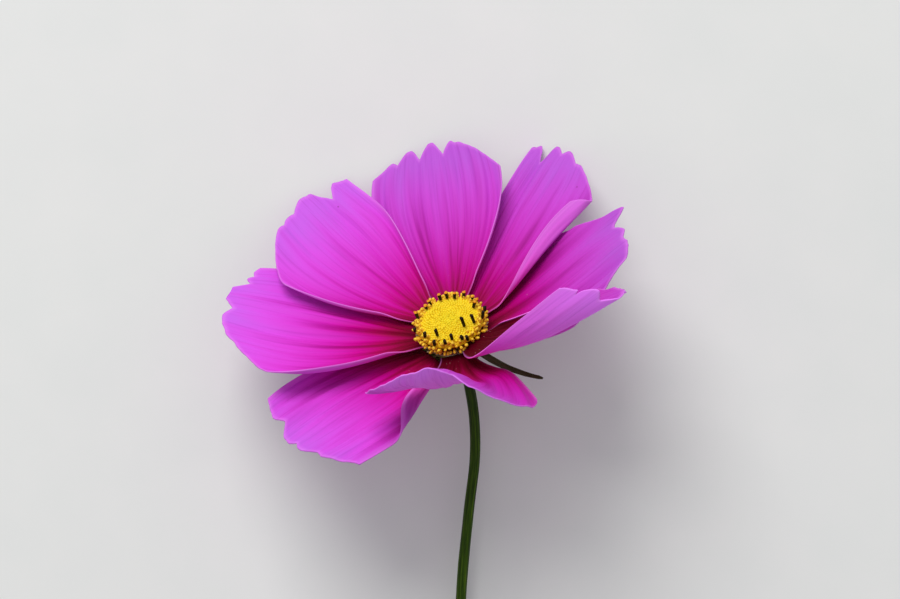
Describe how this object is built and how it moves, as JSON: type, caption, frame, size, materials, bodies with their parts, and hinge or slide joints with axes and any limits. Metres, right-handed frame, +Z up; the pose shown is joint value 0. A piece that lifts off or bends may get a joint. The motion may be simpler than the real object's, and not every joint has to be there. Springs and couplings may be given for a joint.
{
  "type": "cosmos flower",
  "caption": "Single pink cosmos bloom with broad toothed petals round a yellow disc, on a slender cut stem, lying on its back.",
  "frame": {"origin": "on the surface the flower lies on, under the middle of its bounding box", "axes": "+Z up from the surface, the stem lies along -Y, the bloom at +Y leans back and faces up and toward +Y, +X to the bloom's right seen from above"},
  "size_m": [0.077, 0.1408, 0.0554],
  "materials": {
    "petal": "thin silky petal, crimson at the foot to lilac-pink at the tip, paler lilac below",
    "disc": "soft golden florets with dark brown anther tubes and pollen",
    "bract": "thin dull green bracts with brown tips",
    "stem": "satin dark green skin with fine ribs"
  },
  "bodies": {
    "root": {"petal_left": "petal", "petal_upper_left": "petal", "petal_top": "petal", "petal_upper_right": "petal", "petal_right": "petal", "petal_lower_right": "petal", "petal_front": "petal", "petal_lower_left": "petal", "disc": "disc", "involucre": "bract", "stem": "stem"}
  },
  "joints": []
}
